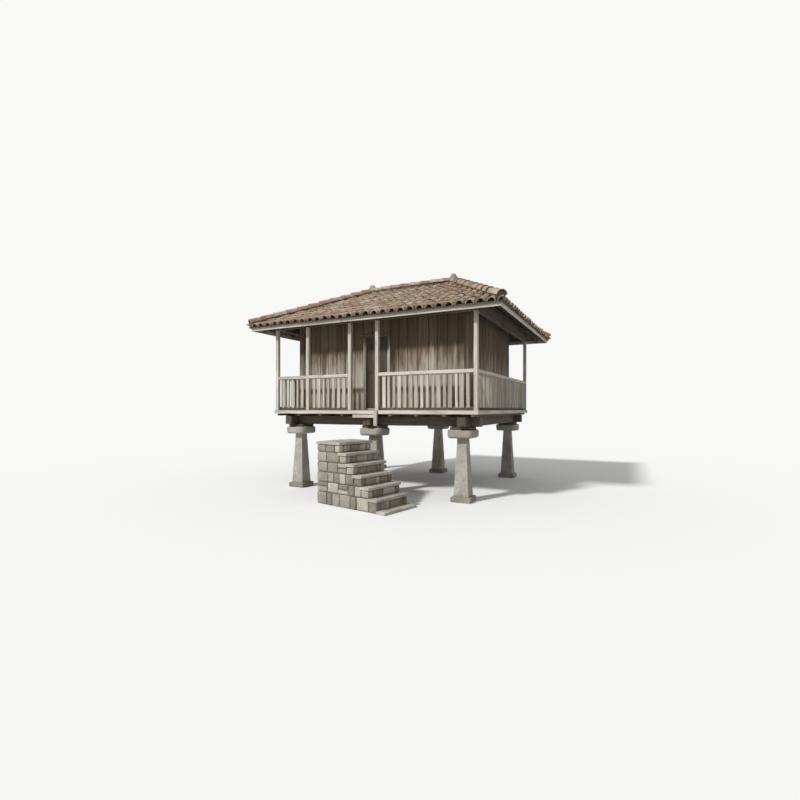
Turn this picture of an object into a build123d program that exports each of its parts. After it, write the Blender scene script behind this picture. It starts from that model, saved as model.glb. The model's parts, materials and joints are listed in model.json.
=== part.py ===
from build123d import *
import math
import os

# Raised granary: a plank-walled grain room with an open gallery all round, under a hipped
# tiled roof, on six tapering stone pillars with flat cap stones, and a stone stair that
# stops short of the gallery. Millimetres, +Z up, front (entrance) towards -Y. The origin is
# on the ground at the middle of the whole footprint, stair included.

# Plan of the gallery floor and the grain room
gallery_width = 5680
gallery_depth = 5280
gallery_walk_front = 450
gallery_walk_side = 450

# Pillars, from the ground up
pillar_span_x = 4700
pillar_span_y = 4310
foot_stone_width = 480
foot_stone_height = 120
pillar_base_width = 360
pillar_top_width = 220
pillar_height = 1345
cap_stone_width = 620
cap_stone_height = 190
cap_stone_corner_radius = 130
cap_stone_lower_round = 60
cap_stone_upper_round = 30
block_width = 480
block_height = 70

# Timber under the floor and the floor itself
beam_width = 200
beam_height = 230
beam_end_setback = 60
cross_beam_centre_x = 2450
cross_beam_width = 220
joist_width = 90
joist_height = 90
joist_count = 9
joist_end_setback = 60
floor_thickness = 55
edge_board_height = 90
edge_board_thickness = 25
step_board_ends = (-355, 300)
step_board_height = 75
step_board_below_edge_board = 15

# Walls of the grain room
corner_post_width = 150
wall_thickness = 60
wall_recess = 15
front_plate_height_above_floor = 2390
side_plate_height_above_floor = 2610
plate_width = 140

# Doorway and door leaf
door_centre_x = 60
door_clear_width = 620
door_head_above_floor = 1850
jamb_width = 80
frame_depth = 100
head_height = 90
sill_height = 50
leaf_thickness = 50
leaf_clearance = 6
pivot_diameter = 30
pivot_depth = 25
pivot_radial_clearance = 0.5
pivot_seat_clearance = 0.3

# Gallery posts, beams over them and railings
post_width = 90
eave_beam_bottom_above_floor = 2180
front_post_centres = (-1770, -460, 320)
back_post_centres = (-950, 950)
entrance_foot_thickness = 50
railing_height = 910
handrail_width = 80
handrail_height = 80
slat_thickness = 24
slat_width = 80
slat_pitch = 136
bottom_rail_height = 70

# Roof: the eave line is the underside of the roof boards at their outer edge
eave_overhang_front = 300
eave_overhang_side = 590
eave_above_floor = 2240
ridge_above_floor = 3540
ridge_length = 2650
roof_board_thickness = 30
rafter_depth = 90
rafter_width = 70
rafter_pitch = 620
hip_rafter_width = 100
rafter_gap = 2
eave_board_height = 90
eave_board_thickness = 25
tile_thickness = 90
tile_overhang = 60
tile_column_pitch = 225
tile_rib_height = 40
tile_rib_foot_width = 190
tile_rib_top_width = 100
ridge_tile_radius = 110
finial_diameter = 230
finial_height = 215
finial_top_diameter = 90
finial_clearance = 1

# Stone stair in front, climbing from right to left
stair_left_x = -550
stair_front_y = -3840
stair_turn = -12
stair_width = 1050
stair_height = 1400
riser_count = 6
landing_length = 720
going = 215
tread_thickness = 60
tread_nosing = 20

# Small gap that keeps neighbouring boards of one node apart
board_gap = 1

# Levels
pillar_bottom = foot_stone_height
pillar_top = pillar_bottom + pillar_height
cap_top = pillar_top + cap_stone_height
block_top = cap_top + block_height
beam_top = block_top + beam_height
joist_top = beam_top + joist_height
floor_top = joist_top + floor_thickness
eave_z = floor_top + eave_above_floor
ridge_z = floor_top + ridge_above_floor
front_plate_z = floor_top + front_plate_height_above_floor
side_plate_z = floor_top + side_plate_height_above_floor
eave_beam_z = floor_top + eave_beam_bottom_above_floor
sill_top = floor_top + sill_height
head_z = floor_top + door_head_above_floor

# Half sizes in plan
gallery_x = gallery_width / 2
gallery_y = gallery_depth / 2
room_x = gallery_x - gallery_walk_side
room_y = gallery_y - gallery_walk_front
eave_x = gallery_x + eave_overhang_side
eave_y = gallery_y + eave_overhang_front
ridge_x = ridge_length / 2
front_rise = (ridge_z - eave_z) / eave_y
side_rise = (ridge_z - eave_z) / (eave_x - ridge_x)
side_per_front = front_rise / side_rise


def block(x0, x1, y0, y1, z0, z1):
    """A box between two corners."""
    place = Location(((x0 + x1) / 2, (y0 + y1) / 2, (z0 + z1) / 2))
    return place * Box(x1 - x0, y1 - y0, z1 - z0)


def prism(plane, points, start, end):
    """A closed outline on a plane, extruded from start to end along the plane's normal."""
    face = plane.offset(start) * make_face(Polyline(*points, close=True))
    return extrude(face, end - start, dir=plane.z_dir)


def under_roof(lift, out=0):
    """All that lies under the roof planes, raised by lift and carried out past the eaves."""
    edge_y = eave_y + out
    edge_x = eave_x + out * side_per_front
    edge_z = eave_z + lift - out * front_rise
    top_z = ridge_z + lift
    front_outline = [(-edge_y, 0), (edge_y, 0), (edge_y, edge_z), (0, top_z), (-edge_y, edge_z)]
    side_outline = [
        (-edge_x, 0), (edge_x, 0), (edge_x, edge_z),
        (ridge_x, top_z), (-ridge_x, top_z), (-edge_x, edge_z),
    ]
    along = prism(Plane.YZ, front_outline, -edge_x, edge_x)
    across = prism(Plane.XZ, side_outline, -edge_y, edge_y)
    return along & across


def sector(side, out=0):
    """The upright prism over one roof slope's share of the plan."""
    x = eave_x + out * side_per_front
    y = eave_y + out
    if side == "front":
        plan = [(-x, -y), (x, -y), (ridge_x, 0), (-ridge_x, 0)]
    elif side == "back":
        plan = [(-x, y), (-ridge_x, 0), (ridge_x, 0), (x, y)]
    elif side == "left":
        plan = [(-x, -y), (-ridge_x, 0), (-x, y)]
    else:
        plan = [(x, -y), (x, y), (ridge_x, 0)]
    return prism(Plane.XY, plan, 0, 2 * ridge_z)


SIDES = ("front", "back", "left", "right")
rafter_underside = under_roof(-rafter_depth)


def roof_layer(side, low, high, out=0):
    """One slope of a layer of the roof, mitred at the hips."""
    layer = under_roof(high, out) - under_roof(low, out)
    return layer & sector(side, out)


def row(first, last, count):
    """Evenly spaced values from first to last."""
    return [first + (last - first) * i / (count - 1) for i in range(count)]


def pillar_places(rows):
    """Plan centres of the pillars in the front row, the back row or both."""
    ys = {"front": [-pillar_span_y / 2], "back": [pillar_span_y / 2]}
    ys["both"] = ys["front"] + ys["back"]
    return [(x, y) for y in ys[rows] for x in row(-pillar_span_x / 2, pillar_span_x / 2, 3)]


def foot_stones():
    """Square stones that carry the pillars."""
    half = foot_stone_width / 2
    places = pillar_places("both")
    return [block(x - half, x + half, y - half, y + half, 0, pillar_bottom) for x, y in places]


def pillars(rows):
    """Square stone pillars that narrow upwards."""
    def one(x, y):
        base = Plane((x, y, pillar_bottom)) * Rectangle(pillar_base_width, pillar_base_width)
        top = Plane((x, y, pillar_top)) * Rectangle(pillar_top_width, pillar_top_width)
        return loft([base, top])
    return [one(x, y) for x, y in pillar_places(rows)]


def cap_stones():
    """Flat square stones with worn, rounded edges, which keep rats from the room."""
    def one(x, y):
        outline = RectangleRounded(cap_stone_width, cap_stone_width, cap_stone_corner_radius)
        stone = extrude(Plane((x, y, pillar_top)) * outline, cap_stone_height)
        rims = stone.edges().group_by(Axis.Z)
        stone = fillet(rims[0], cap_stone_lower_round)
        rims = stone.edges().group_by(Axis.Z)
        return fillet(rims[-1], cap_stone_upper_round)
    return [one(x, y) for x, y in pillar_places("both")]


def bearing_blocks():
    """Wooden blocks between cap stones and beams."""
    half = block_width / 2
    places = pillar_places("both")
    return [block(x - half, x + half, y - half, y + half, cap_top, block_top) for x, y in places]


def main_beams():
    """The two long beams over the pillar rows."""
    x = gallery_x - beam_end_setback
    y = pillar_span_y / 2
    half = beam_width / 2
    return [block(-x, x, s * y - half, s * y + half, block_top, beam_top) for s in (-1, 1)]


def cross_beams():
    """Beams from front to back over the pillars, in lengths that meet the main beams."""
    half = cross_beam_width / 2
    inner = pillar_span_y / 2 - beam_width / 2
    outer = pillar_span_y / 2 + beam_width / 2
    end = gallery_y - beam_end_setback
    lengths = ((-end, -outer), (-inner, inner), (outer, end))
    centres = (-cross_beam_centre_x, 0, cross_beam_centre_x)
    return [block(x - half, x + half, y0, y1, block_top, beam_top) for x in centres for y0, y1 in lengths]


def floor_joists():
    """Joists from front to back, whose ends carry the gallery."""
    last = gallery_x - joist_end_setback - joist_width / 2
    half = joist_width / 2
    xs = row(-last, last, joist_count)
    return [block(x - half, x + half, -gallery_y, gallery_y, beam_top, joist_top) for x in xs]


def floor():
    """The plank floor of the room and the gallery."""
    return block(-gallery_x, gallery_x, -gallery_y, gallery_y, joist_top, floor_top)


def floor_edge_boards():
    """Boards along the four edges of the gallery floor, and one under the entrance."""
    low = floor_top - edge_board_height
    outer_x = gallery_x + edge_board_thickness
    outer_y = gallery_y + edge_board_thickness
    side_y = gallery_y - board_gap
    front = block(-outer_x, outer_x, -outer_y, -gallery_y, low, floor_top)
    right = block(gallery_x, outer_x, -side_y, side_y, low, floor_top)
    top = low - step_board_below_edge_board
    step = block(*step_board_ends, -outer_y, -gallery_y, top - step_board_height, top)
    return [front, front.mirror(Plane.XZ), right, right.mirror(Plane.YZ), step]


def corner_posts():
    """The four corner posts of the grain room."""
    x = room_x - corner_post_width
    y = room_y - corner_post_width
    post = block(x, room_x, y, room_y, floor_top, front_plate_z)
    other = post.mirror(Plane.YZ)
    return [post, other, post.mirror(Plane.XZ), other.mirror(Plane.XZ)]


door_left = door_centre_x - door_clear_width / 2
door_right = door_centre_x + door_clear_width / 2
frame_left = door_left - jamb_width
frame_right = door_right + jamb_width
wall_out = room_y - wall_recess
wall_in = wall_out - wall_thickness
wall_end_x = room_x - corner_post_width
wall_end_y = room_y - corner_post_width


def front_wall_left():
    """Plank wall left of the doorway."""
    return block(-wall_end_x, frame_left, -wall_out, -wall_in, floor_top, front_plate_z)


def front_wall_right():
    """Plank wall right of the doorway."""
    return block(frame_right, wall_end_x, -wall_out, -wall_in, floor_top, front_plate_z)


def front_wall_over_door():
    """Plank wall over the doorway."""
    low = head_z + head_height
    return block(frame_left, frame_right, -wall_out, -wall_in, low, front_plate_z)


def back_wall():
    """Plank wall at the back."""
    return block(-wall_end_x, wall_end_x, wall_in, wall_out, floor_top, front_plate_z)


def side_wall(sign):
    """Plank wall at the left (-1) or right (+1), up to the plate under the rafters."""
    outer = room_x - wall_recess
    wall = block(outer - wall_thickness, outer, -wall_end_y, wall_end_y, floor_top, side_plate_z)
    wall = wall & rafter_underside
    return wall if sign > 0 else wall.mirror(Plane.YZ)


def front_and_back_plates():
    """Plates on the front and back walls, bevelled under the rafters."""
    plate = block(-room_x, room_x, -room_y, plate_width - room_y, front_plate_z, ridge_z)
    plate = plate & rafter_underside
    return [plate, plate.mirror(Plane.XZ)]


def side_plates():
    """Plates on the side walls, bevelled under the rafters."""
    low_x = room_x - plate_width
    plate = block(low_x, room_x, -wall_end_y, wall_end_y, side_plate_z, ridge_z)
    plate = plate & rafter_underside
    return [plate, plate.mirror(Plane.YZ)]


leaf_radius = leaf_thickness / 2
pivot_x = door_right - leaf_clearance - leaf_radius
pivot_y = -room_y + frame_depth / 2
socket_radius = pivot_diameter / 2 + pivot_radial_clearance
socket_depth = pivot_depth + pivot_seat_clearance


def pivot_socket(z0, z1):
    """The round hole that a pivot of the leaf turns in."""
    return Location((pivot_x, pivot_y, (z0 + z1) / 2)) * Cylinder(socket_radius, z1 - z0)


def door_jambs():
    """Posts at both sides of the doorway."""
    front, back = -room_y, -room_y + frame_depth
    left = block(frame_left, door_left, front, back, floor_top, head_z)
    right = block(door_right, frame_right, front, back, floor_top, head_z)
    return [left, right]


def door_head():
    """The head over the doorway, with the upper pivot hole."""
    front, back = -room_y, -room_y + frame_depth
    head = block(frame_left, frame_right, front, back, head_z, head_z + head_height)
    return head - pivot_socket(head_z, head_z + socket_depth)


def door_sill():
    """The raised sill between the jambs, with the lower pivot hole."""
    front, back = -room_y, -room_y + frame_depth
    sill = block(door_left, door_right, front, back, floor_top, sill_top)
    return sill - pivot_socket(sill_top - socket_depth, sill_top)


def door():
    """The leaf: flat boards with a round heel, and a pivot at each end of the heel."""
    low, high = sill_top + leaf_clearance, head_z - leaf_clearance
    left = door_left + leaf_clearance
    boards = block(left, pivot_x, pivot_y - leaf_radius, pivot_y + leaf_radius, low, high)
    heel = Location((pivot_x, pivot_y, (low + high) / 2)) * Cylinder(leaf_radius, high - low)
    reach = high - low + 2 * leaf_clearance + 2 * pivot_depth
    pivots = Location((pivot_x, pivot_y, (low + high) / 2)) * Cylinder(pivot_diameter / 2, reach)
    return boards + heel + pivots


def gallery_post(x, y):
    """One post of the gallery, from the floor to the beam under the eaves."""
    half = post_width / 2
    return block(x - half, x + half, y - half, y + half, floor_top, eave_beam_z)


post_x = gallery_x - post_width / 2
post_y = gallery_y - post_width / 2


def front_gallery_posts():
    """Posts along the front, and the foot that carries on below the one right of the entrance."""
    posts = [gallery_post(x, -post_y) for x in (-post_x, *front_post_centres, post_x)]
    x, half = front_post_centres[-1], post_width / 2
    outer = -gallery_y - edge_board_thickness
    foot = block(x - half, x + half, outer - entrance_foot_thickness, outer, block_top, floor_top)
    return posts + [foot]


def back_gallery_posts():
    """Posts along the back."""
    return [gallery_post(x, post_y) for x in (-post_x, *back_post_centres, post_x)]


def long_eave_beams():
    """Beams on the front and back gallery posts."""
    inner = gallery_y - post_width
    beam = block(-gallery_x, gallery_x, -gallery_y, -inner, eave_beam_z, ridge_z)
    beam = beam & rafter_underside
    return [beam, beam.mirror(Plane.XZ)]


def short_eave_beams():
    """Beams between them along the sides, deep enough to reach the steeper rafters."""
    inner_x, inner_y = gallery_x - post_width, gallery_y - post_width
    beam = block(inner_x, gallery_x, -inner_y, inner_y, eave_beam_z, ridge_z)
    beam = beam & rafter_underside
    return [beam, beam.mirror(Plane.YZ)]


def railing(length):
    """A railing along +X, centred on the origin: close-set slats under a handrail."""
    count = int((length - slat_pitch) // slat_pitch)
    gap_height = railing_height - handrail_height - bottom_rail_height
    gap_z = bottom_rail_height + gap_height / 2
    panel = Location((0, railing_height / 2)) * Rectangle(length, railing_height)
    cell = length / (count + 1)
    gaps = [Location((cell * (i - count / 2), gap_z)) for i in range(count + 1)]
    hole = Rectangle(cell - slat_width, gap_height)
    panel = panel - [place * hole for place in gaps]
    fence = extrude(Plane.XZ.offset(-slat_thickness / 2) * panel, slat_thickness)
    half = handrail_width / 2
    rail = block(-length / 2, length / 2, -half, half, railing_height - handrail_height, railing_height)
    return fence + rail


def railing_between(start, end):
    """A railing on the gallery floor between two plan points."""
    (x0, y0), (x1, y1) = start, end
    turn = math.degrees(math.atan2(y1 - y0, x1 - x0))
    place = Location(((x0 + x1) / 2, (y0 + y1) / 2, floor_top), (0, 0, turn))
    return place * railing(math.hypot(x1 - x0, y1 - y0))


def railings_along(centres, y):
    """Railings that fill the bays between neighbouring posts of a long side."""
    half = post_width / 2
    return [railing_between((a + half, y), (b - half, y)) for a, b in zip(centres, centres[1:])]


def side_railing(sign):
    """The railing along the left (-1) or right (+1) side."""
    end = post_y - post_width / 2
    return railing_between((sign * post_x, -end), (sign * post_x, end))


def hip_strip(sign_x, sign_y, width):
    """The upright slice over one hip, from the ridge end to the corner of the eaves."""
    length = math.hypot(eave_x - ridge_x, eave_y)
    turn = math.degrees(math.atan2(sign_y * eave_y, sign_x * (eave_x - ridge_x)))
    place = Location((sign_x * ridge_x, 0, ridge_z / 2), (0, 0, turn))
    return place * Location((length / 2, 0, 0)) * Box(length, width, 2 * ridge_z)


CORNERS = ((-1, -1), (1, -1), (1, 1), (-1, 1))


def ridge_and_hip_rafters():
    """The ridge beam and the four hip rafters, joined at the ridge ends."""
    half = hip_rafter_width / 2
    inset = eave_board_thickness + board_gap
    space = block(inset - eave_x, eave_x - inset, inset - eave_y, eave_y - inset, 0, 2 * ridge_z)
    ridge = block(-ridge_x, ridge_x, -half, half, 0, 2 * ridge_z)
    strips = [hip_strip(sx, sy, hip_rafter_width) for sx, sy in CORNERS]
    return (under_roof(0) - rafter_underside) & (ridge + strips) & space


def rafters(side):
    """The common rafters of one slope, cut clear of the ridge beam and hip rafters."""
    inset = eave_board_thickness
    half = rafter_width / 2
    along_x = side in ("front", "back")
    reach = (eave_x if along_x else eave_y) - rafter_pitch / 3
    count = 2 * int(reach // rafter_pitch) + 1
    centres = [rafter_pitch * (i - (count - 1) / 2) for i in range(count)]
    x_end, y_end = eave_x - inset, eave_y - inset
    if along_x:
        bars = [block(c - half, c + half, -y_end, y_end, 0, 2 * ridge_z) for c in centres]
    else:
        bars = [block(-x_end, x_end, c - half, c + half, 0, 2 * ridge_z) for c in centres]
    clear = hip_rafter_width + 2 * rafter_gap
    ridge = block(-eave_x, eave_x, -clear / 2, clear / 2, 0, 2 * ridge_z)
    keep_out = [hip_strip(sx, sy, clear) for sx, sy in CORNERS]
    if along_x:
        keep_out = keep_out + [ridge]
    layer = (under_roof(0) - rafter_underside) & sector(side)
    pieces = [(layer & bar) - keep_out for bar in bars]
    return [solid for piece in pieces for solid in piece.solids() if solid.volume > 1e5]


def eave_boards():
    """Boards over the rafter ends at the four eaves."""
    low = eave_z - eave_board_height
    inner_x, inner_y = eave_x - eave_board_thickness, eave_y - eave_board_thickness
    front = block(-eave_x, eave_x, -eave_y, -inner_y, low, ridge_z) & under_roof(0)
    side_y = inner_y - board_gap
    right = block(inner_x, eave_x, -side_y, side_y, low, ridge_z) & under_roof(0)
    return [front, front.mirror(Plane.XZ), right, right.mirror(Plane.YZ)]


def roof_boards(side):
    """The boarding of one slope, on the rafters."""
    return roof_layer(side, 0, roof_board_thickness)


tile_top = roof_board_thickness + tile_thickness


def tiles(side):
    """The curved tiles of one slope as a bed with a rib for each column, past the eave boards."""
    front_or_back = side in ("front", "back")
    half = eave_x + tile_overhang * side_per_front if front_or_back else eave_y + tile_overhang
    reach = eave_y + tile_overhang if front_or_back else eave_x + tile_overhang * side_per_front
    foot_z = eave_z - tile_overhang * front_rise
    rise = reach * (front_rise if front_or_back else side_rise)
    columns = int(2 * half // tile_column_pitch)
    bed_z = foot_z + tile_top - tile_rib_height
    outline = [(-half, foot_z + roof_board_thickness), (-half, bed_z)]
    for i in range(1, columns):
        centre = -half + 2 * half * i / columns
        outline.append((centre - tile_rib_foot_width / 2, bed_z))
        outline.append((centre - tile_rib_top_width / 2, foot_z + tile_top))
        outline.append((centre + tile_rib_top_width / 2, foot_z + tile_top))
        outline.append((centre + tile_rib_foot_width / 2, bed_z))
    outline += [(half, bed_z), (half, foot_z + roof_board_thickness)]
    turn = {"front": 0, "right": 90, "back": 180, "left": 270}[side]
    start = Plane((0, -reach, 0), x_dir=(1, 0, 0), z_dir=(0, -1, 0))
    upwards = Vector(0, reach, rise)
    slab = extrude(start * make_face(Polyline(*outline, close=True)), upwards.length, dir=upwards)
    return slab.rotate(Axis.Z, turn) & sector(side, tile_overhang)


def upright(x, radius, low, high):
    """An upright round post on the ridge line."""
    return Location((x, 0, (low + high) / 2)) * Cylinder(radius, high - low)


def ridge_and_hip_tiles():
    """The rounded tiles that cover the ridge and the four hips, clear of the finials."""
    top_z = ridge_z + tile_top
    out_x = eave_x + tile_overhang * side_per_front
    out_y = eave_y + tile_overhang
    low_z = eave_z + tile_top - tile_overhang * front_rise
    ridge_plane = Plane((-ridge_x, 0, top_z), x_dir=(0, 1, 0), z_dir=(1, 0, 0))
    rods = extrude(ridge_plane * Circle(ridge_tile_radius), ridge_length)
    for sx, sy in CORNERS:
        start = Vector(sx * ridge_x, 0, top_z)
        run = Vector(sx * out_x, sy * out_y, low_z) - start
        rods = rods + extrude(Plane(start, z_dir=run) * Circle(ridge_tile_radius), run.length)
    inside = block(-out_x, out_x, -out_y, out_y, 0, 2 * ridge_z)
    hole = finial_diameter / 2 + finial_clearance
    holes = [upright(x, hole, 0, 2 * ridge_z) for x in (-ridge_x, ridge_x)]
    return (rods & inside) - under_roof(tile_top, tile_overhang) - holes


def finials():
    """A blunt stone cone at each end of the ridge, bedded on the tiles."""
    line_z = ridge_z + tile_top
    shoulder_z = line_z + ridge_tile_radius
    shapes = []
    for x in (-ridge_x, ridge_x):
        foot = upright(x, finial_diameter / 2, line_z - ridge_tile_radius, shoulder_z)
        cone_height = finial_height - ridge_tile_radius
        cone = Cone(finial_diameter / 2, finial_top_diameter / 2, cone_height)
        cone = Location((x, 0, shoulder_z + cone_height / 2)) * cone
        shapes.append(foot + cone - under_roof(tile_top, tile_overhang))
    return shapes


def stair_place():
    """Where the stair's own corner stands: its left end at the front."""
    return Location((stair_left_x, stair_front_y, 0), (0, 0, stair_turn))


riser = (stair_height - tread_thickness) / riser_count


def stair_masonry():
    """The solid stone body of the stair, stepped under its treads."""
    points = [(0, 0), (0, riser_count * riser)]
    x = landing_length
    for level in range(riser_count, 0, -1):
        points.append((x, level * riser))
        if level > 1:
            points.append((x, (level - 1) * riser))
            x = x + going
    points.append((x, 0))
    return stair_place() * prism(Plane.XZ, points, -stair_width, 0)


def stair_treads():
    """The landing slab, one slab on each step with a small nosing, and the slab at its foot."""
    slabs = []
    x0, x1 = 0, landing_length
    for level in range(riser_count, -1, -1):
        bed = level * riser
        slab = block(x0, x1 + tread_nosing, 0, stair_width, bed, bed + tread_thickness)
        slabs.append(stair_place() * slab)
        x0, x1 = x1, x1 + going
    return slabs


def all_parts():
    """Every node's shape, by the node's name, about the middle of the gallery."""
    post_line = (-post_x, *front_post_centres, post_x)
    back_line = (-post_x, *back_post_centres, post_x)
    parts = {
        "foot_stones": foot_stones(),
        "pillars_front": pillars("front"),
        "pillars_back": pillars("back"),
        "cap_stones": cap_stones(),
        "bearing_blocks": bearing_blocks(),
        "main_beams": main_beams(),
        "cross_beams": cross_beams(),
        "floor_joists": floor_joists(),
        "floor": floor(),
        "floor_edge_boards": floor_edge_boards(),
        "corner_posts": corner_posts(),
        "front_wall_left": front_wall_left(),
        "front_wall_right": front_wall_right(),
        "front_wall_over_door": front_wall_over_door(),
        "back_wall": back_wall(),
        "left_wall": side_wall(-1),
        "right_wall": side_wall(1),
        "front_and_back_plates": front_and_back_plates(),
        "side_plates": side_plates(),
        "door_jambs": door_jambs(),
        "door_head": door_head(),
        "door_sill": door_sill(),
        "door": door(),
        "gallery_posts_front": front_gallery_posts(),
        "gallery_posts_back": back_gallery_posts(),
        "long_eave_beams": long_eave_beams(),
        "short_eave_beams": short_eave_beams(),
        "railing_front_left": railings_along(post_line[:3], -post_y),
        "railing_front_right": railings_along(post_line[3:], -post_y),
        "railing_back": railings_along(back_line, post_y),
        "railing_left": side_railing(-1),
        "railing_right": side_railing(1),
        "ridge_and_hip_rafters": ridge_and_hip_rafters(),
        "eave_boards": eave_boards(),
        "ridge_and_hip_tiles": ridge_and_hip_tiles(),
        "finials": finials(),
        "stair_masonry": stair_masonry(),
        "stair_treads": stair_treads(),
    }
    for side in SIDES:
        parts["rafters_" + side] = rafters(side)
        parts["roof_boards_" + side] = roof_boards(side)
        parts["tiles_" + side] = tiles(side)
    return parts


def placed(shape, place):
    """A node's solids moved to their place, as one shape."""
    pieces = shape if isinstance(shape, list) else [shape]
    solids = [place * solid for piece in pieces for solid in piece.solids()]
    return Compound(solids) if len(solids) > 1 else solids[0]


def footprint_centre():
    """The middle of the footprint, from the stair's lowest corner to the back eaves."""
    stair_length = landing_length + riser_count * going + tread_nosing
    turn = math.radians(stair_turn)
    front = stair_front_y + stair_length * math.sin(turn)
    back = eave_y + tile_overhang
    return (front + back) / 2


def main():
    os.makedirs("parts", exist_ok=True)
    shift = Location((0, -footprint_centre(), 0))
    for name, shape in all_parts().items():
        export_step(placed(shape, shift), "parts/" + name + ".step")


main()
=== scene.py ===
import json
import math
import random

import bmesh
import bpy
from mathutils import Matrix, Vector, noise


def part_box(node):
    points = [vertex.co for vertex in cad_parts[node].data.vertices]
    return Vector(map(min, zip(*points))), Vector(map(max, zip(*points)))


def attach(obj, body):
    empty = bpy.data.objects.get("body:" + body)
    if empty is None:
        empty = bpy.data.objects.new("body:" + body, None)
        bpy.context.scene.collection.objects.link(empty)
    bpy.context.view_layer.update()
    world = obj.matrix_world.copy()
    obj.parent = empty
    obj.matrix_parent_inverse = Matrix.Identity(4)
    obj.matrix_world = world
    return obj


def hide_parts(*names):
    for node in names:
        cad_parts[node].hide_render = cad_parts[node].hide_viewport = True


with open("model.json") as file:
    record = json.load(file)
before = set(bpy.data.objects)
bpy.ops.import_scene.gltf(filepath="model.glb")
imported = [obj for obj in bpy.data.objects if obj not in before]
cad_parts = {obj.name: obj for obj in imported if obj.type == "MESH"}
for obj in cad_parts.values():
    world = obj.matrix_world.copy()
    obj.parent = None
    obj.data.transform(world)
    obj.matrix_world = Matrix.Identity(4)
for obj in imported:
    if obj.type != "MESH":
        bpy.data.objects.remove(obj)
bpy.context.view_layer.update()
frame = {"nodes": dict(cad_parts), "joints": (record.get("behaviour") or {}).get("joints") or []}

# Looks of a raised granary: planks, posts and slats of weathered wood, curved clay tiles,
# dressed stone pillars and a stair of coursed rubble. Metres. The front faces -Y.

HOUSE = "granary"
LEAF = "door"
draw = random.Random(7)
noise.seed_set(7)

floor_low, floor_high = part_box("floor")
MIDDLE = (floor_low + floor_high) / 2
FLOOR_TOP = floor_high.z


# Colours and shader nodes


def linear(hex_colour):
    """An sRGB hex colour as linear RGBA."""
    values = [int(hex_colour[i:i + 2], 16) / 255 for i in (1, 3, 5)]
    return (*[v / 12.92 if v <= 0.04045 else ((v + 0.055) / 1.055) ** 2.4 for v in values], 1)


def add(tree, kind, inputs=None, **settings):
    """Adds a shader node with its settings, and sets or links its inputs."""
    made = tree.nodes.new(kind)
    for name, value in settings.items():
        setattr(made, name, value)
    for name, value in (inputs or {}).items():
        if isinstance(value, bpy.types.NodeSocket):
            tree.links.new(value, made.inputs[name])
        else:
            made.inputs[name].default_value = value
    return made


def ramp(tree, value, stops):
    """A colour ramp over value, with (place, hex colour) stops."""
    made = add(tree, "ShaderNodeValToRGB", {"Fac": value})
    made.color_ramp.elements[0].position = stops[0][0]
    made.color_ramp.elements[1].position = stops[-1][0]
    for place, _ in stops[1:-1]:
        made.color_ramp.elements.new(place)
    for element, (_, colour) in zip(made.color_ramp.elements, stops):
        element.color = linear(colour)
    return made.outputs["Color"]


def blend(tree, mode, amount, first, second):
    """Two colours mixed in the given mode."""
    # A mix of colours takes its factor at input 0 and its colours at 6 and 7, and gives output 2
    inputs = {0: amount, 6: first, 7: second}
    return add(tree, "ShaderNodeMix", inputs, data_type="RGBA", blend_type=mode).outputs[2]


def calculate(tree, operation, *values):
    """The result of a sum on sockets and numbers."""
    return add(tree, "ShaderNodeMath", dict(enumerate(values)), operation=operation).outputs[0]


def span(tree, value, low, high, to_low=0.0, to_high=1.0):
    """A value stretched from one range to another."""
    inputs = {"Value": value, "From Min": low, "From Max": high, "To Min": to_low, "To Max": to_high}
    return add(tree, "ShaderNodeMapRange", inputs).outputs["Result"]


def darken(tree, colour, amount, value, low, dark, high=1.0):
    """A colour that turns towards a darker one where value falls from high to low."""
    shade = ramp(tree, value, [(low, dark), (high, "#ffffff")])
    return blend(tree, "MULTIPLY", amount, colour, shade)


def own_place(tree):
    """The coordinates of the object itself, in metres."""
    return add(tree, "ShaderNodeTexCoord").outputs["Object"]


def noise_at(tree, place, spacing, detail=4, roughness=0.55):
    """Noise whose blotches are about spacing metres apart: one figure, or one for each axis."""
    if isinstance(spacing, float):
        spacing = (spacing,) * 3
    scale = [1 / s for s in spacing]
    moved = add(tree, "ShaderNodeMapping", {"Vector": place, "Scale": scale})
    inputs = {"Vector": moved.outputs["Vector"], "Scale": 1, "Detail": detail, "Roughness": roughness}
    return add(tree, "ShaderNodeTexNoise", inputs).outputs["Fac"]


def attribute(tree, name, output):
    """A value that the mesh carries."""
    return add(tree, "ShaderNodeAttribute", attribute_name=name).outputs[output]


def material(name):
    """An empty node material and its tree."""
    made = bpy.data.materials.new(name)
    made.use_nodes = True
    made.node_tree.nodes.clear()
    return made, made.node_tree


def surface(tree, colour, roughness, height, depth, ior):
    """The shader of a rough solid, with a bump that is depth metres deep."""
    bump = add(tree, "ShaderNodeBump", {"Height": height, "Distance": depth, "Strength": 1.0})
    inputs = {"Base Color": colour, "Roughness": roughness, "IOR": ior, "Normal": bump.outputs["Normal"]}
    shader = add(tree, "ShaderNodeBsdfPrincipled", inputs)
    add(tree, "ShaderNodeOutputMaterial", {"Surface": shader.outputs["BSDF"]})


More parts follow.
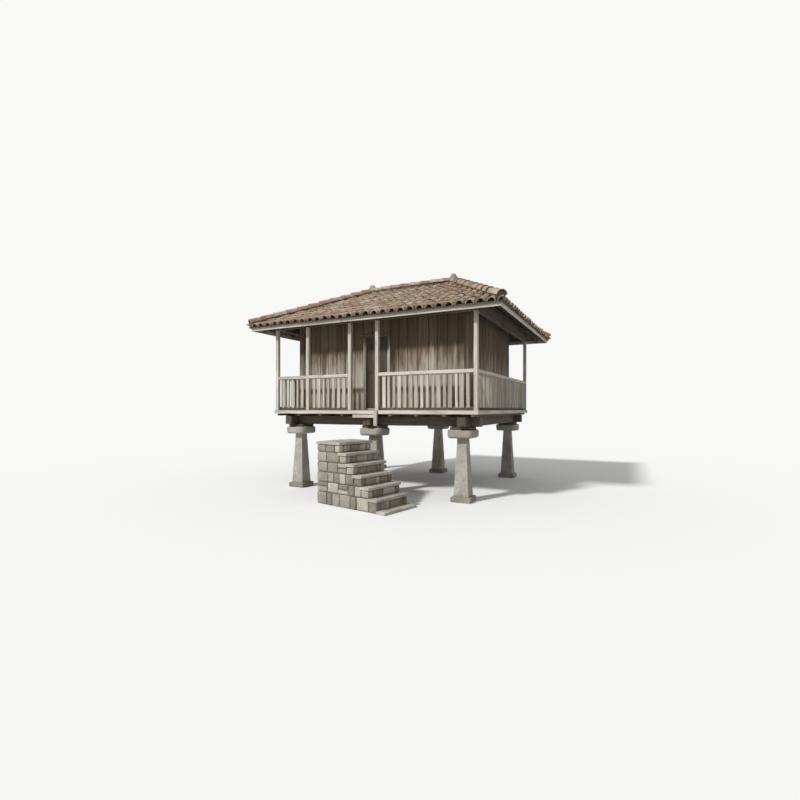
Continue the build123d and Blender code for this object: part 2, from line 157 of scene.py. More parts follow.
def weathered_wood(name, dark, mid, pale, length_axis=None, sheltered_and_shaded=None):
    """Old sawn oak and chestnut that rain and sun have turned grey. To the eye: long soft
    streaks, open cracks along the grain, boards that differ in tone, dull all over. Above the
    two heights given, with a ragged edge between them, it turns darker and browner: partly the
    brown that the eaves keep, partly painted shade that falls under the eaves."""
    made, tree = material(name)
    # Joined timbers carry their own grain along X. A CAD timber's runs along the axis given
    place = own_place(tree) if length_axis else attribute(tree, "grain", "Vector")

    def stretched(length, width):
        return [length if axis == (length_axis or "x") else width for axis in "xyz"]

    streak = noise_at(tree, place, stretched(0.7, 0.022), 6, 0.65)
    broad = noise_at(tree, place, stretched(1.6, 0.16), 3)
    # Real drying cracks are about 1 mm wide: they are drawn wider, so that they show
    crack = span(tree, noise_at(tree, place, stretched(0.45, 0.011), 2, 0.4), 0.3, 0.38)
    colour = ramp(tree, streak, [(0.3, dark), (0.5, mid), (0.72, pale)])
    colour = darken(tree, colour, 0.4, broad, 0.32, "#a39b90", 0.6)
    if not length_axis:
        colour = darken(tree, colour, 1.0, attribute(tree, "tone", "Fac"), 0, "#b3ada4")
    colour = darken(tree, colour, 0.6, crack, 0, "#756d64")
    if sheltered_and_shaded:
        spot = own_place(tree)
        height = add(tree, "ShaderNodeSeparateXYZ", {"Vector": spot}).outputs["Z"]
        ragged = noise_at(tree, spot, (0.1, 0.1, 0.9), 4, 0.6)
        # The noise swings about 0.5, so half its reach is added to both heights
        reach = 1.6
        edge = calculate(tree, "MULTIPLY_ADD", ragged, reach, height)
        browned_and_shaded = span(tree, edge, sheltered_and_shaded[0] + reach / 2, sheltered_and_shaded[1] + reach / 2)
        # Darker and browner above the heights: the brown of wood out of the rain, and painted shade of the
        # eaves' shadow
        colour = blend(tree, "MULTIPLY", browned_and_shaded, colour, linear("#a1917f"))
    surface(tree, colour, 0.86, calculate(tree, "ADD", streak, crack), 0.0025, 1.45)
    return made


def dressed_stone(name, dark, mid, pale, lichen):
    """Sandstone cut with a point chisel and left outdoors. To the eye: mottled grains, tool
    pocks, and pale crusts of lichen with darker damp patches."""
    made, tree = material(name)
    place = own_place(tree)
    broad = noise_at(tree, place, (0.35, 0.35, 0.5), 5, 0.6)
    grain = noise_at(tree, place, 0.018, 4, 0.7)
    crust = span(tree, noise_at(tree, place, 0.11, 6, 0.7), 0.58, 0.66, 0, 0.55)
    pocks = add(tree, "ShaderNodeTexVoronoi", {"Vector": place, "Scale": 1 / 0.03}).outputs["Distance"]
    colour = ramp(tree, broad, [(0.3, dark), (0.5, mid), (0.7, pale)])
    colour = darken(tree, colour, 0.6, grain, 0.35, "#8f8b84", 0.6)
    colour = blend(tree, "MIX", crust, colour, linear(lichen))
    colour = darken(tree, colour, 1.0, attribute(tree, "tone", "Fac"), 0, "#aaa69e")
    surface(tree, colour, 0.9, calculate(tree, "ADD", grain, pocks), 0.004, 1.5)
    return made


def old_tile(name):
    """Unglazed curved clay tile, wood-fired and a century old. To the eye: each tile its own
    brown to grey, sooty patches, pale lichen spots, a matt surface. The channels, low between
    the covers, get the darkest tones as painted shade."""
    made, tree = material(name)
    place = own_place(tree)
    firing_and_channel_shade = [(0.0, "#5a4d43"), (0.3, "#7f6a5b"), (0.6, "#a98e79"), (0.85, "#b9a590"), (1.0, "#c4b8a6")]
    soot = noise_at(tree, place, 0.12, 5, 0.65)
    spots = span(tree, noise_at(tree, place, 0.035, 4, 0.6), 0.6, 0.68, 0, 0.6)
    fine = noise_at(tree, place, 0.008, 3, 0.6)
    colour = ramp(tree, attribute(tree, "tone", "Fac"), firing_and_channel_shade)
    colour = darken(tree, colour, 0.55, soot, 0.35, "#7d746a", 0.6)
    colour = blend(tree, "MIX", spots, colour, linear("#c9c6b4"))
    surface(tree, colour, 0.88, fine, 0.0015, 1.5)
    return made


def lime_mortar(name):
    """Lime and coarse sand, washed by rain. To the eye: sandy grey with darker hollows."""
    made, tree = material(name)
    place = own_place(tree)
    sand = noise_at(tree, place, 0.012, 5, 0.7)
    damp = noise_at(tree, place, 0.25, 3)
    colour = ramp(tree, sand, [(0.3, "#4d4942"), (0.55, "#726c62"), (0.75, "#8d877b")])
    colour = darken(tree, colour, 0.6, damp, 0.35, "#8a857c", 0.6)
    surface(tree, colour, 0.95, sand, 0.004, 1.5)
    return made


def wrought_iron(name):
    """Hammered iron with a rust bloom. To the eye: near black, dull, brown in the hollows."""
    made, tree = material(name)
    bloom = noise_at(tree, own_place(tree), 0.02, 5, 0.6)
    colour = ramp(tree, bloom, [(0.35, "#2a2725"), (0.6, "#3b322c"), (0.75, "#5b4334")])
    surface(tree, colour, 0.7, bloom, 0.001, 1.5)
    return made


PALE_WOOD = weathered_wood("weathered_oak_pale", "#b5aea1", "#cec8bb", "#dfdacf")
# Above these heights the door frame and the wall planks darken: the brown of wood the eaves keep from rain,
# and painted shade where the eaves' shadow falls
JAMB_WOOD = weathered_wood(
    "weathered_oak_door_frame", "#b5aea1", "#cec8bb", "#dfdacf",
    sheltered_and_shaded=(FLOOR_TOP + 1.65, FLOOR_TOP + 1.85),
)
PLANK_WOOD = weathered_wood(
    "weathered_chestnut_planks", "#9d9588", "#bbb3a5", "#d2cbbd",
    sheltered_and_shaded=(FLOOR_TOP + 0.95, FLOOR_TOP + 1.45),
)
# The beams, joists, floor, roof boards and foot rails are dark oak: partly the brown of wood kept out of
# the weather, partly painted shade of the deep shadow under the floor and the eaves
FRAME_WOOD = weathered_wood("sheltered_oak_and_painted_shade", "#51483e", "#695f53", "#82786a")
# The door's dark stain is partly painted shade, so that the doorway shows dark
DOOR_WOOD = weathered_wood("dark_chestnut_door_and_painted_shade", "#3b342d", "#51483e", "#665c50")
# The rafters' dark colour is partly painted shade under the eaves
RAFTER_WOOD_Y = weathered_wood("rafter_oak_front", "#4a4138", "#62584c", "#7c7265", "y")
RAFTER_WOOD_X = weathered_wood("rafter_oak_side", "#4a4138", "#62584c", "#7c7265", "x")
PILLAR_STONE = dressed_stone("dressed_sandstone", "#a9a499", "#c4bfb3", "#d7d2c7", "#d8d7c8")
RUBBLE_STONE = dressed_stone("rubble_sandstone", "#a39d91", "#c0bbae", "#d5d0c4", "#d5d5c4")
SLAB_STONE = dressed_stone("worn_tread_slabs", "#aea99e", "#c7c1b6", "#dad5ca", "#dbd9ca")
CLAY = old_tile("old_clay_tile")
MORTAR = lime_mortar("lime_mortar")
IRON = wrought_iron("wrought_iron")


# Shapes and how they are joined into pieces


def linked(name, data):
    """A new object in the scene with the given mesh, lamp or camera."""
    made = bpy.data.objects.new(name, data)
    bpy.context.scene.collection.objects.link(made)
    return made


def facing(x, y, z):
    """The turn that lays a thing's own axes along the three directions given."""
    return Matrix((x, y, z)).transposed().to_4x4()


def settle(bm):
    """Puts points, edges and faces in a fixed order, because bmesh operators keep none."""

    def in_order(parts, key):
        parts.index_update()
        places = {part.index: place for place, part in enumerate(sorted(parts, key=key))}
        parts.sort(key=lambda part: places[part.index])
        parts.index_update()

    in_order(bm.verts, lambda v: [round(x, 5) for x in v.co])
    in_order(bm.edges, lambda e: sorted(v.index for v in e.verts))
    in_order(bm.faces, lambda f: sorted(v.index for v in f.verts))


class Shape:
    """The points and faces of a finished bmesh, to be placed many times."""

    def __init__(self, bm):
        settle(bm)
        self.points = [v.co.copy() for v in bm.verts]
        self.faces = []
        for face in bm.faces:
            corners = [v.index for v in face.verts]
            first = corners.index(min(corners))
            self.faces.append(corners[first:] + corners[:first])
        bm.free()


def anywhere():
    """A random place in a noise, so that no two things have the same one."""
    return Vector([draw.uniform(0, 50) for _ in range(3)])


class Batch:
    """Many placed shapes joined into one mesh. Each has its own grain coordinates and tone."""

    def __init__(self):
        self.points, self.faces, self.grain, self.tone = [], [], [], []

    def place(self, shape, matrix, tone):
        start = len(self.points)
        offset = anywhere()
        placed = [matrix @ p for p in shape.points]
        # Nothing reaches below the ground
        self.points += [Vector((p.x, p.y, max(p.z, 0))) for p in placed]
        self.faces += [[start + i for i in face] for face in shape.faces]
        self.grain += [p + offset for p in shape.points]
        self.tone += [tone] * len(shape.points)

    def mesh(self, name):
        made = bpy.data.meshes.new(name)
        made.from_pydata(self.points, [], self.faces)
        grain = made.attributes.new("grain", "FLOAT_VECTOR", "POINT")
        grain.data.foreach_set("vector", [x for p in self.grain for x in p])
        tone = made.attributes.new("tone", "FLOAT", "POINT")
        tone.data.foreach_set("value", self.tone)
        return made


def piece(name, batch, finish, body=HOUSE, stands_for=(), sharp=35, trim=None):
    """A batch as one object that rides on a body, with its finish. Edges of
    more than sharp degrees stay crisp. trim is a slope that cuts it, and the cut's margin."""
    mesh = batch.mesh(name)
    if trim:
        slope, margin = trim
        slope.cut(mesh, margin)
    mesh.materials.append(finish)
    mesh.shade_smooth()
    mesh.set_sharp_from_angle(angle=math.radians(sharp))
    made = linked(name, mesh)
    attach(made, body)
    if stands_for:
        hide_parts(*stands_for)


def solids(node):
    """The lowest and highest corner of each separate solid of a CAD node, in X, Y, Z order."""
    bm = bmesh.new()
    bm.from_mesh(frame["nodes"][node].data)
    bmesh.ops.remove_doubles(bm, verts=bm.verts, dist=1e-5)
    seen, boxes = set(), []
    for first in bm.verts:
        if first in seen:
            continue
        group, todo = [], [first]
        seen.add(first)
        while todo:
            vert = todo.pop()
            group.append(vert.co.copy())
            for edge in vert.link_edges:
                other = edge.other_vert(vert)
                if other not in seen:
                    seen.add(other)
                    todo.append(other)
        low = Vector([min(p[i] for p in group) for i in range(3)])
        high = Vector([max(p[i] for p in group) for i in range(3)])
        boxes.append((low, high))
    bm.free()
    return sorted(boxes, key=lambda b: tuple(round(x, 3) for x in b[0]))


# A turn that lays a shape's own X along each axis of the frame
TURN = {
    "x": Matrix.Identity(3),
    "y": Matrix(((0, 0, 1), (1, 0, 0), (0, 1, 0))),
    "z": Matrix(((0, 1, 0), (0, 0, 1), (1, 0, 0))),
}


def tone_about(middle, spread, least, most=1):
    """A random tone, kept between two limits."""
    return min(most, max(least, draw.gauss(middle, spread)))


def bevel(bm, edges, offset, segments, clamp=False):
    """Rounds edges off."""
    bmesh.ops.bevel(
        bm, geom=edges, offset=offset, segments=segments, profile=0.5, affect="EDGES",
        material=-1, clamp_overlap=clamp,
    )


def edges_along(bm, axis, least):
    """The edges that reach more than least along an axis, given as 0, 1 or 2."""
    return [e for e in bm.edges if abs(e.verts[0].co[axis] - e.verts[1].co[axis]) > least]


def spun_round(bm, outline, axis, steps):
    """Turns an outline once round an axis through the origin."""
    bmesh.ops.spin(bm, geom=outline, axis=axis, angle=2 * math.pi, steps=steps, use_merge=True)


def timber_shape(size, rounding, wobble, step=0.5):
    """A piece of wood along X, with broken edges and faces that aren't quite true."""
    bm = bmesh.new()
    bmesh.ops.create_cube(bm, size=1)
    bmesh.ops.scale(bm, vec=size, verts=bm.verts)
    bevel(bm, bm.edges[:], rounding, 1, clamp=True)
    cuts = int(size[0] / step)
    if cuts:
        along = edges_along(bm, 0, size[0] / 2)
        bmesh.ops.subdivide_edges(bm, edges=along, cuts=cuts, use_grid_fill=True)
    seed = anywhere()
    bends = Vector((2.2, 5, 5))
    for vert in bm.verts:
        push = noise.noise_vector(vert.co * bends + seed) * wobble
        vert.co.y += push.y
        vert.co.z += push.z
    return Shape(bm)


def timber(batch, low, high, along=None, rounding=0.004, wobble=0.003, tone=None, lean=0.0):
    """Adds wood that fills the box between two corners, along its longest axis if none is
    given, and leans by some degrees."""
    size = high - low
    turn = TURN[along or "xyz"[max(range(3), key=lambda i: size[i])]]
    own = turn.transposed() @ size
    shape = timber_shape([abs(x) for x in own], rounding, wobble)
    matrix = Matrix.Translation((low + high) / 2) @ turn.to_4x4()
    matrix = matrix @ Matrix.Rotation(math.radians(lean), 4, "Z")
    batch.place(shape, matrix, draw.uniform(0.25, 1) if tone is None else tone)


def timbers(name, node, finish, slot, **how):
    """Every solid of a CAD node as a piece of wood of the same size."""
    batch = Batch()
    for low, high in solids(node):
        timber(batch, low, high, **how)
    piece(name, batch, finish, stands_for=[node])


def stone_shape(size, rounding, rough, cuts=2, top_share=1.0):
    """A worked stone: worn edges, uneven faces, narrower at the top by top_share."""
    bm = bmesh.new()
    bmesh.ops.create_cube(bm, size=1)
    bmesh.ops.subdivide_edges(bm, edges=bm.edges[:], cuts=cuts, use_grid_fill=True)
    bmesh.ops.scale(bm, vec=size, verts=bm.verts)
    rims = [e for e in bm.edges if e.calc_face_angle(0) > 1]
    bevel(bm, rims, rounding, 2, clamp=True)
    bm.normal_update()
    seed = anywhere()
    for vert in bm.verts:
        coarse = noise.noise(vert.co * 6 + seed)
        fine = noise.noise(vert.co * 22 + seed)
        vert.co += vert.normal * rough * (coarse + 0.4 * fine)
        share = 1 + (top_share - 1) * (vert.co.z / size[2] + 0.5)
        vert.co.x *= share
        vert.co.y *= share
    return Shape(bm)


# Foot stones, pillars, cap stones and blocks


def dressed_blocks(name, nodes, tones, shape_of):
    """Every solid of some CAD nodes as a dressed stone, its tone between the two given."""
    batch = Batch()
    for node in nodes:
        for low, high in solids(node):
            shape = shape_of(high - low)
            batch.place(shape, Matrix.Translation((low + high) / 2), draw.uniform(*tones))
    piece(name, batch, PILLAR_STONE, stands_for=nodes)


# A pillar's width at its top, as a share of that at its foot
PILLAR_TOP_SHARE = 0.22 / 0.36


def cap_stone_shape(size):
    """A flat square stone with round corners and a belly at its lower edge."""
    bm = bmesh.new()
    bmesh.ops.create_cube(bm, size=1)
    bmesh.ops.scale(bm, vec=size, verts=bm.verts)
    bevel(bm, edges_along(bm, 2, size.z / 2), 0.13, 6)
    for level, round_off in ((-size.z / 2, 0.06), (size.z / 2, 0.03)):
        rim = [e for e in bm.edges if all(abs(v.co.z - level) < 1e-4 for v in e.verts)]
        bevel(bm, rim, round_off, 4)
    bmesh.ops.subdivide_edges(bm, edges=edges_along(bm, 2, 0.05), cuts=2, use_grid_fill=True)
    bm.normal_update()
    seed = anywhere()
    for vert in bm.verts:
        coarse = 0.009 * noise.noise(vert.co * 5 + seed)
        fine = 0.004 * noise.noise(vert.co * 18 + seed)
        vert.co += vert.normal * (coarse + fine)
    return Shape(bm)


def stone_supports():
    """Low foot stones, tall tapering pillars, and the flat cap stones that keep mice out."""
    dressed_blocks("foot_stone_blocks", ["foot_stones"], (0.2, 0.8),
                   lambda size: stone_shape(size, 0.02, 0.008, 4))
    dressed_blocks("dressed_pillars", ["pillars_front", "pillars_back"], (0.5, 1),
                   lambda size: stone_shape(size, 0.016, 0.007, 9, PILLAR_TOP_SHARE))
    dressed_blocks("worn_cap_stones", ["cap_stones"], (0.5, 1), cap_stone_shape)


# Roof


SIDES = ("front", "back", "left", "right")
# Height of the CAD part's bed of tiles
TILE_BED = 0.09


class Slope:
    """One slope of the roof, as directions: along the eaves, up the slope, and out of it."""

    def __init__(self, side):
        low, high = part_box("tiles_" + side)
        left_low, left_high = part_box("tiles_left")
        roof_low = Vector(map(min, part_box("tiles_front")[0], left_low))
        roof_high = Vector(map(max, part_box("tiles_back")[1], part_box("tiles_right")[1]))
        self.half_x = (roof_high.x - roof_low.x) / 2
        self.half_y = (roof_high.y - roof_low.y) / 2
        self.centre = (roof_low + roof_high) / 2
        self.ridge_half = self.half_x - (left_high.x - left_low.x)
        along = {"front": (1, 0, 0), "back": (-1, 0, 0), "left": (0, -1, 0), "right": (0, 1, 0)}
        self.along = Vector(along[side])
        self.inwards = Vector((0, 0, 1)).cross(self.along)
        if side in ("front", "back"):
            reach, self.run = self.half_y, self.half_y
            self.half_eave, self.half_top = self.half_x, self.ridge_half
        else:
            reach, self.run = self.half_x, self.half_x - self.ridge_half
            self.half_eave, self.half_top = self.half_y, 0
        rise = high.z - TILE_BED - low.z
        self.length = math.hypot(self.run, rise)
        self.up = (self.inwards * self.run + Vector((0, 0, rise))) / self.length
        self.out = self.along.cross(self.up)
        self.eave = Vector((self.centre.x, self.centre.y, low.z)) - self.inwards * reach

    def half_at(self, distance):
        """Half the slope's width at a distance up from the eaves."""
        share = distance / self.length
        return self.half_eave + (self.half_top - self.half_eave) * share

    def place(self, across, up, out, turn=0.0, tip=0.0, roll=0.0):
        """The matrix of a thing on the slope, its X up the slope and its Z out of it."""
        basis = facing(self.up, -self.along, self.out)
        spot = self.eave + self.along * across + self.up * up + self.out * out
        small = Matrix.Rotation(turn, 4, "Z") @ Matrix.Rotation(tip, 4, "Y") @ Matrix.Rotation(roll, 4, "X")
        return Matrix.Translation(spot) @ basis @ small

    def cut(self, mesh, margin):
        """Trims a joined mesh at the hips, or at the ridge, and closes the cuts."""
        bm = bmesh.new()
        bm.from_mesh(mesh)
        eave_mid = Vector((self.eave.x, self.eave.y, 0))
        for sign in (-1, 1):
            foot = eave_mid + self.along * self.half_eave * sign
            top = eave_mid + self.inwards * self.run + self.along * self.half_top * sign
            line = (top - foot).normalized()
            outwards = Vector((line.y, -line.x, 0))
            if outwards.dot(self.along * sign) < 0:
                outwards = -outwards
            self.trim(bm, foot - outwards * margin, outwards)
        if self.half_top:
            self.trim(bm, eave_mid + self.inwards * (self.run - margin), self.inwards)
        settle(bm)
        bm.to_mesh(mesh)
        bm.free()

    @staticmethod
    def trim(bm, point, outwards):
        """Cuts away what lies outside a plane and closes each cut solid."""
        everything = bm.verts[:] + bm.edges[:] + bm.faces[:]
        made = bmesh.ops.bisect_plane(
            bm, geom=everything, dist=1e-6, plane_co=point, plane_no=outwards, clear_outer=True,
        )
        edges = [e for e in made["geom_cut"] if isinstance(e, bmesh.types.BMEdge) and e.is_boundary]
        bmesh.ops.holes_fill(bm, edges=edges, sides=0)


# Radii at the lower and at the upper end of a tile
COVER_RADII = (0.098, 0.082)
CHANNEL_RADII = (0.105, 0.088)
RIDGE_RADII = (0.125, 0.108)
TILE_WALL = 0.014
TILE_LENGTH = 0.46
# A tile's reach under the next course, and the distance between rows of covers
TILE_LAP = 0.13
TILE_PITCH = 0.225
# A channel lies on its back: the height of its middle over the slope
CHANNEL_RISE = 0.106


def tile_shape(radii, steps, length=TILE_LENGTH, open_angle=165):
    """A curved tile with its length along X, hollow side down, wider at its lower end."""
    low_radius, high_radius = radii
    half = math.radians(open_angle) / 2
    bm = bmesh.new()
    first = bm.verts.new(Vector((0, -math.sin(half), math.cos(half))) * low_radius)
    bmesh.ops.spin(bm, geom=[first], axis=(1, 0, 0), angle=-2 * half, steps=steps)
    made = bmesh.ops.extrude_edge_only(bm, edges=bm.edges[:])
    far = [v for v in made["geom"] if isinstance(v, bmesh.types.BMVert)]
    share = high_radius / low_radius
    bmesh.ops.scale(bm, vec=(1, share, share), verts=far)
    bmesh.ops.translate(bm, vec=(length, 0, 0), verts=far)
    bmesh.ops.recalc_face_normals(bm, faces=bm.faces)
    if bm.faces[0].normal.dot(bm.faces[0].calc_center_median()) < 0:
        bmesh.ops.reverse_faces(bm, faces=bm.faces[:])
    bmesh.ops.solidify(bm, geom=bm.faces[:], thickness=TILE_WALL)
    bmesh.ops.recalc_face_normals(bm, faces=bm.faces)
    return Shape(bm)


def roof_tiles():
    """Channel and cover tiles on the four slopes, laid by hand in uneven courses."""
    cover = tile_shape(COVER_RADII, 8)
    channel = tile_shape(CHANNEL_RADII, 6, open_angle=112)
    flip = Matrix.Rotation(math.pi, 4, "X")
    exposed = TILE_LENGTH - TILE_LAP
    for side in SIDES:
        slope = Slope(side)
        batch = Batch()
        courses = int(slope.length / exposed) + 1
        columns = int(2 * slope.half_eave / TILE_PITCH)
        pitch = 2 * slope.half_eave / columns
        for course in range(courses):
            up = course * exposed
            width = slope.half_at(up) + 0.12
            # Covers on the even half steps, and channels between them on the odd ones
            for column in range(2 * columns + 1):
                across = -slope.half_eave + column * pitch / 2
                if abs(across) > width:
                    continue
                shift = draw.gauss(0, 0.012)
                lift = draw.uniform(0, 0.008)
                turn = math.radians(draw.gauss(0, 1.6))
                tip = math.radians(draw.gauss(2.2, 0.5))
                roll = math.radians(draw.gauss(0, 2.5))
                if column % 2 == 0:
                    matrix = slope.place(across, up + shift - 0.01, lift, turn, tip, roll)
                    batch.place(cover, matrix, tone_about(0.72, 0.14, 0.2))
                else:
                    # Channels lie steadier than covers, or they would break through them
                    steady = (turn / 2, tip, roll / 3)
                    matrix = slope.place(across, up + shift + 0.03, CHANNEL_RISE + lift / 2, *steady)
                    # Channels get the darkest tones: painted shade in the hollows between the covers
                    batch.place(channel, matrix @ flip, tone_about(0.13, 0.08, 0, 0.5))
        piece("curved_tiles_" + side, batch, CLAY,
              stands_for=["tiles_" + side], sharp=50, trim=(slope, 0.01))


def along_line(batch, shape, start, end, step, lift):
    """Lays ridge tiles one after another from start up to end, each lapping the last."""
    line = end - start
    along = line.normalized()
    side = Vector((0, 0, 1)).cross(along).normalized()
    up = along.cross(side)
    basis = facing(along, side, up)
    count = max(1, round(line.length / step))
    gap = line.length / count
    for i in range(count):
        turn = Matrix.Rotation(math.radians(draw.gauss(0, 2)), 4, "Z")
        tip = Matrix.Rotation(math.radians(draw.gauss(2.0, 0.6)), 4, "Y")
        spot = start + along * (i * gap) + up * (lift + draw.uniform(-0.004, 0.006))
        tone = tone_about(0.62, 0.18, 0.2)
        batch.place(shape, Matrix.Translation(spot) @ basis @ turn @ tip, tone)


def mortar_bed(batch, start, end):
    """A rough, slightly flattened roll of mortar under a line of ridge tiles."""
    line = end - start
    radius = 0.1
    bm = bmesh.new()
    bmesh.ops.create_cone(bm, cap_ends=True, segments=12, radius1=radius, radius2=radius, depth=line.length)
    bmesh.ops.scale(bm, vec=(1, 0.88, 1), verts=bm.verts)
    lengthwise = edges_along(bm, 2, line.length / 2)
    bmesh.ops.subdivide_edges(bm, edges=lengthwise, cuts=int(line.length / 0.1), use_grid_fill=True)
    bm.normal_update()
    seed = anywhere()
    for vert in bm.verts:
        vert.co += vert.normal * 0.008 * noise.noise(vert.co * 12 + seed)
    turn = line.to_track_quat("Z", "Y").to_matrix().to_4x4()
    batch.place(Shape(bm), Matrix.Translation((start + end) / 2) @ turn, 0.5)


def ridge_tiles():
    """Larger curved tiles along the ridge and the hips, bedded in mortar."""
    slope = Slope("front")
    ridge_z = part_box("tiles_front")[1].z
    eave_z = slope.eave.z + TILE_BED
    batch, bed = Batch(), Batch()
    shape = tile_shape(RIDGE_RADII, 9, 0.44, 170)
    centre = slope.centre
    ends = [Vector((centre.x + sx * slope.ridge_half, centre.y, ridge_z)) for sx in (-1, 1)]
    lines = []
    for sx, top in zip((-1, 1), ends):
        for sy in (-1, 1):
            foot = Vector((centre.x + sx * slope.half_x, centre.y + sy * slope.half_y, eave_z))
            lines.append((foot + (top - foot).normalized() * 0.04, top))
    lines.append(ends)
    for start, end in lines:
        along_line(batch, shape, start, end, 0.34, 0.006)
        inset = (end - start).normalized() * 0.03
        mortar_bed(bed, start + inset, end - inset)
    piece("ridge_and_hip_covers", batch, CLAY, stands_for=["ridge_and_hip_tiles"], sharp=50)
    piece("ridge_mortar_bed", bed, MORTAR)


# A finial's outline: share of its foot's radius, and distance under its top
FINIAL_OUTLINE = ((1, 0.14), (0.93, 0.1), (0.76, 0.06), (0.58, 0.025), (0.4, 0.005), (0, 0))


def finials():
    """Blunt cones of rough stone and mortar on the ridge ends."""
    batch = Batch()
    for low, high in solids("finials"):
        centre = (low + high) / 2
        half = (high.x - low.x) / 2
        profile = [(half, low.z)] + [(half * share, high.z - under) for share, under in FINIAL_OUTLINE]
        bm = bmesh.new()
        rim = [bm.verts.new((r, 0, z - centre.z)) for r, z in profile]
        edges = [bm.edges.new(pair) for pair in zip(rim, rim[1:])]
        spun_round(bm, rim + edges, (0, 0, 1), 20)
        bmesh.ops.remove_doubles(bm, verts=bm.verts, dist=1e-4)
        bmesh.ops.holes_fill(bm, edges=[e for e in bm.edges if e.is_boundary], sides=0)
        bmesh.ops.recalc_face_normals(bm, faces=bm.faces)
        bm.normal_update()
        for vert in bm.verts:
            vert.co += vert.normal * 0.008 * noise.noise(vert.co * 14 + centre)
        batch.place(Shape(bm), Matrix.Translation(centre), 0.5)
    piece("ridge_finials", batch, PILLAR_STONE, stands_for=["finials"])


BOARD_WIDTH = 0.19
BOARD_THICKNESS = 0.026


def roof_boarding():
    """Sawn boards under the tiles, seen from below at the eaves."""
    for side in SIDES:
        slope = Slope(side)
        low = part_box("roof_boards_" + side)[0]
        batch = Batch()
        start = max(0.0, low.z - slope.eave.z) / slope.up.z
        for i in range(int(slope.length / BOARD_WIDTH)):
            up = start + (i + 0.5) * BOARD_WIDTH
            if up > slope.length - 0.02:
                break
            half = slope.half_at(up - BOARD_WIDTH / 2) + 0.1
            # The undersides lie 2.5 mm above those of the CAD boards, 30 mm thick measured upright
            out = -0.030 * slope.out.z + 0.0155 + draw.uniform(-0.0015, 0.0015)
            shape = timber_shape((2 * half, BOARD_WIDTH - 0.003, BOARD_THICKNESS), 0.002, 0.001, 1.0)
            basis = facing(slope.along, slope.up, slope.out)
            spot = slope.eave + slope.up * up + slope.out * out
            batch.place(shape, Matrix.Translation(spot) @ basis, draw.uniform(0.2, 0.9))
        piece("roof_boarding_" + side, batch, FRAME_WOOD,
              stands_for=["roof_boards_" + side], trim=(slope, 0.001))


# Grain room, gallery and floor


PLANK_WIDTH = 0.27
# Thickness of the lining behind the planks, and the width of its boards
LINING = 0.018
LINING_WIDTH = 0.24
# Heights of nails over a plank's foot, and their distance from its edges
NAIL_LEVELS = (0.14, 1.25, 2.3)
NAIL_INSET = 0.055
# Places of nails, each with the axis it faces and the side of the house
nail_spots = []


def plank_wall(name, nodes):
    """Upright planks with open joints and broken edges, on a lining of level boards."""
    batch = Batch()
    for node in nodes:
        low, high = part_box(node)
        size = high - low
        run = 0 if size.x > size.y else 1
        deep = 1 - run
        outside = 1 if (low + high)[deep] / 2 > MIDDLE[deep] else -1
        inner, outer = (low[deep], high[deep]) if outside > 0 else (high[deep], low[deep])
        back = inner + outside * LINING
        count = max(1, round(size[run] / PLANK_WIDTH))
        cuts = [low[run] + size[run] * (i + (draw.uniform(-0.18, 0.18) if 0 < i < count else 0)) / count
                for i in range(count + 1)]
        for start, end in zip(cuts, cuts[1:]):
            first, last = low.copy(), high.copy()
            first[run], last[run] = start + 0.003, end - 0.003
            face = outer + draw.uniform(-0.003, 0.003)
            first[deep], last[deep] = min(back, face), max(back, face)
            timber(batch, first, last, along="z", rounding=0.014, wobble=0.0015)
            for level in NAIL_LEVELS:
                for place in (start + NAIL_INSET, end - NAIL_INSET):
                    spot = Vector((0, 0, low.z + level + draw.uniform(-0.01, 0.01)))
                    spot[run], spot[deep] = place + draw.uniform(-0.01, 0.01), face
                    if spot.z < high.z:
                        nail_spots.append((spot, deep, outside))
        rows = round(size.z / LINING_WIDTH)
        for i in range(rows):
            first, last = low.copy(), high.copy()
            first.z, last.z = low.z + size.z * i / rows, low.z + size.z * (i + 1) / rows
            first[deep], last[deep] = min(inner, back), max(inner, back)
            # The lining gets only dark tones, so that the open joints between planks show dark: painted
            # shade in the gaps
            timber(batch, first, last, along="xy"[run], rounding=0.002, wobble=0, tone=draw.uniform(0, 0.3))
    piece(name, batch, PLANK_WOOD, stands_for=nodes)


FLOOR_PLANKS = 22
JOIST_PITCH = 0.69


def floor_planks():
    """Thick planks along the front, each in two lengths that meet on one of five joists."""
    batch = Batch()
    size = floor_high - floor_low
    width = size.y / FLOOR_PLANKS
    for i in range(FLOOR_PLANKS):
        y = floor_low.y + i * width
        joint = MIDDLE.x + draw.choice(range(-2, 3)) * JOIST_PITCH
        for x0, x1 in ((floor_low.x, joint - 0.001), (joint + 0.001, floor_high.x)):
            low = Vector((x0, y + 0.001, floor_low.z))
            high = Vector((x1, y + width - 0.001, floor_high.z - draw.uniform(0, 0.002)))
            timber(batch, low, high, along="x", rounding=0.003, wobble=0.0012)
    piece("floor_planks", batch, FRAME_WOOD, stands_for=["floor"])


HANDRAIL_HEIGHT = 0.08
SLAT_PITCH = 0.136
foot_rails = Batch()


